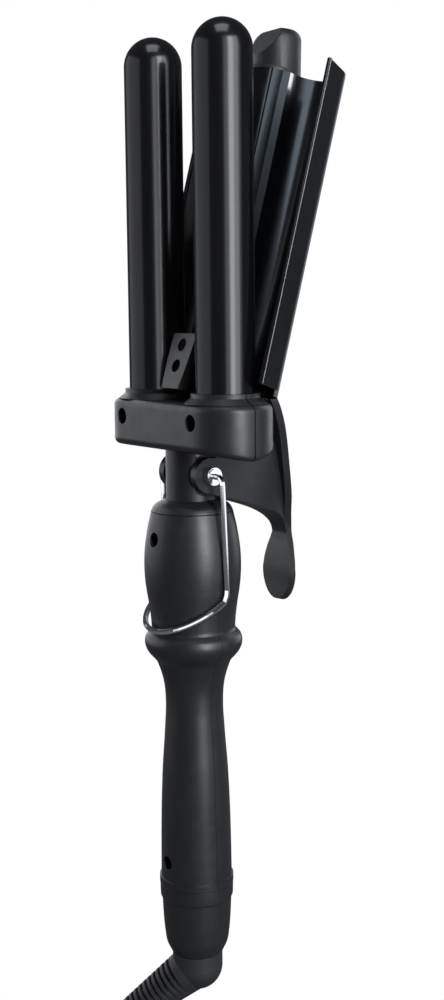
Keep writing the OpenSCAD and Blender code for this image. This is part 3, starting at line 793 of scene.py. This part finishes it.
@dataclass
class Barrels(SubAssembly):
    """The two fixed barrels and their ceramic cores."""

    finishes: dict[str, str] = field(
        default_factory=lambda: {
            "barrel_left": "gloss_ceramic",
            "barrel_right": "gloss_ceramic",
            "heater_left": "ceramic_core",
            "heater_right": "ceramic_core",
        }
    )


@dataclass
class Yoke(SubAssembly):
    """The yoke with its shaped underside, the neck under it and the hollow pivot."""

    finishes: dict[str, str] = field(
        default_factory=lambda: {
            "yoke_front": "matte_halves",
            "yoke_rear": "matte_halves",
            "yoke_screws": "steel",
            "neck": "matte_black",
            "pivot_tube": "chrome",
        }
    )
    underside: Keel = Keel()

    def dress(self) -> None:
        """Gives the nodes their finishes and adds the yoke's underside."""
        super().dress()
        keel = self.underside.build()
        keel.data.materials.append(self.materials["matte_halves"])
        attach(keel, "handle")
        log.info("%s wears %s", keel.name, "matte_halves")


@dataclass
class Jaw(SubAssembly):
    """The moving jaw: lever, wing plate, middle barrel and return spring."""

    finishes: dict[str, str] = field(
        default_factory=lambda: {
            "lever": "matte_black",
            "wing_plate": "gloss_ceramic",
            "middle_holder": "matte_black",
            "holder_screws": "steel",
            "barrel_middle": "gloss_ceramic",
            "middle_cap": "cap_rubber",
            "heater_middle": "ceramic_core",
            "return_spring": "steel",
        }
    )


@dataclass
class Handle(SubAssembly):
    """The handle's shells, its collar and end cap, and the controls."""

    finishes: dict[str, str] = field(
        default_factory=lambda: {
            "handle_front": "grip_halves",
            "handle_rear": "grip_halves",
            "handle_collar": "matte_black",
            "handle_screws": "steel",
            "end_cap": "soft_black",
            "control_board": "board_green",
            "thermal_fuse": "steel",
            "control_panel": "panel_gloss",
            "display_window": "window_smoke",
            "power_button": "key_plastic",
            "plus_button": "key_plastic",
            "minus_button": "key_plastic",
        }
    )


@dataclass
class StandAndGuard(SubAssembly):
    """The wire stand and the cord guard."""

    finishes: dict[str, str] = field(
        default_factory=lambda: {"stand_wire": "chrome", "cord_guard": "guard_rubber"}
    )


# ---- Camera, lights and backdrop ---------------------------------------------------------


@dataclass(frozen=True)
class PhotoCamera:
    """The photograph's camera, aimed at a point beside the tool's axis.

    Attributes:
        turn: direction of the view in plan, anticlockwise from +Y, in degrees.
        pitch: how far the camera looks down, in degrees.
        roll: roll of the picture, in degrees.
        distance: distance of the lens from the aim.
        aim_height: height of the aim.
        aim_side: how far the aim lies to the picture's right of the tool's axis.
        lens: focal length in millimetres.
        picture: height of the picture that the focal length is for, in millimetres.
        near: nearest distance that the camera sees.
        far: furthest distance that the camera sees.
    """

    turn: float = 54.39
    pitch: float = 8.06
    roll: float = -0.56
    distance: float = 594.0 * MM
    aim_height: float = 90.0 * MM
    aim_side: float = 13.08 * MM
    lens: float = 49.2
    picture: float = 36.0
    near: float = 10 * MM
    far: float = 20.0

    @property
    def right(self) -> Vector:
        """Level direction to the picture's right."""
        a = math.radians(self.turn)
        return Vector((math.cos(a), math.sin(a), 0))

    @property
    def away(self) -> Vector:
        """Level direction away from the camera."""
        a = math.radians(self.turn)
        return Vector((-math.sin(a), math.cos(a), 0))

    def place(self) -> None:
        """Adds the camera to the scene."""
        p, r = math.radians(self.pitch), math.radians(self.roll)
        up = Vector((0, 0, 1))
        forward = math.cos(p) * self.away - math.sin(p) * up
        level_top = math.sin(p) * self.away + math.cos(p) * up
        side = math.cos(r) * self.right + math.sin(r) * level_top
        top = -math.sin(r) * self.right + math.cos(r) * level_top
        eye = self.aim_side * self.right + self.aim_height * up - self.distance * forward
        data = bpy.data.cameras.new("photo_camera")
        data.lens = self.lens
        data.sensor_width = self.picture
        data.sensor_fit = "AUTO"
        data.clip_start = self.near
        data.clip_end = self.far
        camera = bpy.data.objects.new("photo_camera", data)
        camera.matrix_world = Matrix.Translation(eye) @ Matrix((side, top, -forward)).transposed().to_4x4()
        bpy.context.scene.collection.objects.link(camera)
        bpy.context.scene.camera = camera


@dataclass(frozen=True)
class SoftBox:
    """A rectangular light that faces the tool's middle.

    Attributes:
        name: name of the light.
        side: direction in plan from the tool, in degrees to the picture's right of the camera.
        height: height of its centre above the tool's middle.
        distance: level distance from the tool's axis.
        width: width of the light.
        tall: height of the light.
        power: watts.
        only: the pieces that it lights.
        tint: colour of the light.
    """

    name: str
    side: float
    height: float
    distance: float
    width: float
    tall: float
    power: float
    only: Lit = Lit.EVERYTHING
    tint: Colour = DAYLIGHT

    def place(self, camera: PhotoCamera, middle: Vector, frame: Frame) -> None:
        """Adds the light to the scene.

        Args:
            camera: the camera that the side is counted from.
            middle: the tool's middle.
            frame: the loaded frame.
        """
        a = math.radians(self.side)
        out = math.sin(a) * camera.right - math.cos(a) * camera.away
        data = bpy.data.lights.new(self.name, "AREA")
        data.shape = "RECTANGLE"
        data.size = self.width
        data.size_y = self.tall
        data.energy = self.power
        data.color = self.tint
        light = bpy.data.objects.new(self.name, data)
        light.location = middle + self.distance * out + Vector((0, 0, self.height))
        light.rotation_euler = (light.location - middle).to_track_quat("Z", "Y").to_euler()
        light.visible_camera = False
        bpy.context.scene.collection.objects.link(light)
        if self.only.value:
            lit = bpy.data.collections.new(self.name)
            for name in self.only.value:
                lit.objects.link(frame["nodes"].get(name) or bpy.data.objects[name])
            light.light_linking.receiver_collection = lit


@dataclass
class Studio:
    """White floor and surroundings, with soft boxes round the tool.

    Attributes:
        frame: the loaded frame.
        camera: the camera that the boxes' sides are counted from.
        boxes: the lights, each as its name, side, height, distance, width, tall, power, only and tint.
        sky: colour of the light that comes from all round.
        ambient: strength of that light.
        floor_colour: colour of the floor, but to the camera, which sees it white.
        floor_gap: distance of the floor below the tool.
        floor_size: length of the floor's sides.
    """

    frame: Frame
    camera: PhotoCamera
    boxes: tuple[SoftBox, ...] = (
        SoftBox("key", 30, 0.25, 1.3, 0.40, 1.6, 11, Lit.BARRELS),
        SoftBox("key_side", 49, 0.25, 1.3, 0.5, 1.6, 6.5, Lit.BARRELS),
        SoftBox("key_dim", 12, 0.25, 1.3, 0.35, 1.6, 1.7, Lit.BARRELS),
        SoftBox("left_fill", -92, 0.15, 1.4, 2.2, 1.6, 4.4, Lit.BARRELS),
        SoftBox("left_streak", 3, 0.1, 1.0, 0.2, 1.3, 1.0, Lit.LEFT_BARREL),
        SoftBox("wing_sky", 18, 1.05, 1.25, 1.3, 0.7, 7, Lit.WING, SKY),
        SoftBox("wing_edge", 82, 0.2, 1.3, 0.3, 1.6, 22, Lit.WING),
        SoftBox("wing_back", 150, 0.3, 1.3, 0.45, 1.6, 0.9, Lit.WING, SKY),
        SoftBox("matte_key", 33, 0.35, 1.3, 0.4, 1.2, 26, Lit.MATTE),
        SoftBox("matte_left", -118, 0.3, 1.4, 2.4, 1.6, 18, Lit.MATTE),
        SoftBox("matte_side", 72, 0.2, 1.3, 0.6, 1.4, 3, Lit.MATTE),
        SoftBox("matte_back", 135, 0.3, 1.3, 0.7, 1.4, 6, Lit.MATTE),
        SoftBox("matte_rear", -170, 0.4, 1.5, 0.9, 1.4, 7, Lit.MATTE),
        SoftBox("wing_rear", -165, 0.3, 1.5, 0.5, 1.6, 3, Lit.WING),
        SoftBox("chrome_left", -28, 0.0, 1.2, 2.0, 2.2, 18, Lit.CHROME),
        SoftBox("chrome_low", -100, -0.2, 1.2, 1.6, 1.2, 10, Lit.CHROME),
        SoftBox("chrome_right", 78, 0.1, 1.2, 0.9, 1.6, 6, Lit.CHROME),
        SoftBox("top", 0, 1.3, 0.35, 0.7, 0.7, 3),
    )
    sky: Colour = (0.92, 0.95, 1.0)
    ambient: float = 0.06
    floor_colour: Colour = (0.82, 0.82, 0.82)
    floor_gap: float = 0.4 * MM
    floor_size: float = 6.0

    def backdrop(self) -> bpy.types.Material:
        """White to the camera, pale and plain to all other rays.

        Returns:
            The floor's material.
        """
        g = Graph(bpy.data.materials.new("backdrop"))
        white = g.node("ShaderNodeEmission", inputs={"Color": rgba(WHITE), "Strength": 1.0})
        plain = g.node("ShaderNodeBsdfDiffuse", inputs={"Color": rgba(self.floor_colour)})
        return g.surface(g.by_camera(plain, white))

    def world(self) -> bpy.types.World:
        """White to the camera, a faint light from all round to all other rays.

        Returns:
            The world.
        """
        g = Graph(bpy.data.worlds.new("studio"))
        white = g.node("ShaderNodeBackground", inputs={"Color": rgba(WHITE)})
        lit = g.node("ShaderNodeBackground", inputs={"Color": rgba(self.sky), "Strength": self.ambient})
        return g.surface(g.by_camera(lit, white))

    def floor(self, height: float) -> None:
        """Adds the floor.

        Args:
            height: height of the floor.
        """
        half = self.floor_size / 2
        corners = ((-half, -half), (half, -half), (half, half), (-half, half))
        floor = mesh_object("floor", [Vector((x, y, height)) for x, y in corners], [[0, 1, 2, 3]])
        floor.data.materials.append(self.backdrop())
        floor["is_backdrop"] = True

    def build(self) -> None:
        """Adds the floor, the surroundings, the lights and the camera."""
        low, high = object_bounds()
        self.floor(low.z - self.floor_gap)
        bpy.context.scene.world = self.world()
        middle = Vector((0, 0, (low.z + high.z) / 2))
        for box in self.boxes:
            box.place(self.camera, middle, self.frame)
        self.camera.place()


def main() -> None:
    """Builds the scene."""
    logging.basicConfig(level=logging.INFO, format="%(name)s: %(message)s")
    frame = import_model()
    bpy.context.scene.view_settings.view_transform = "Standard"
    materials = Palette().materials()
    for group in (Barrels, Yoke, Jaw, Handle, StandAndGuard):
        group(frame, materials).dress()
    Studio(frame, PhotoCamera()).build()


if __name__ == "__main__":
    main()
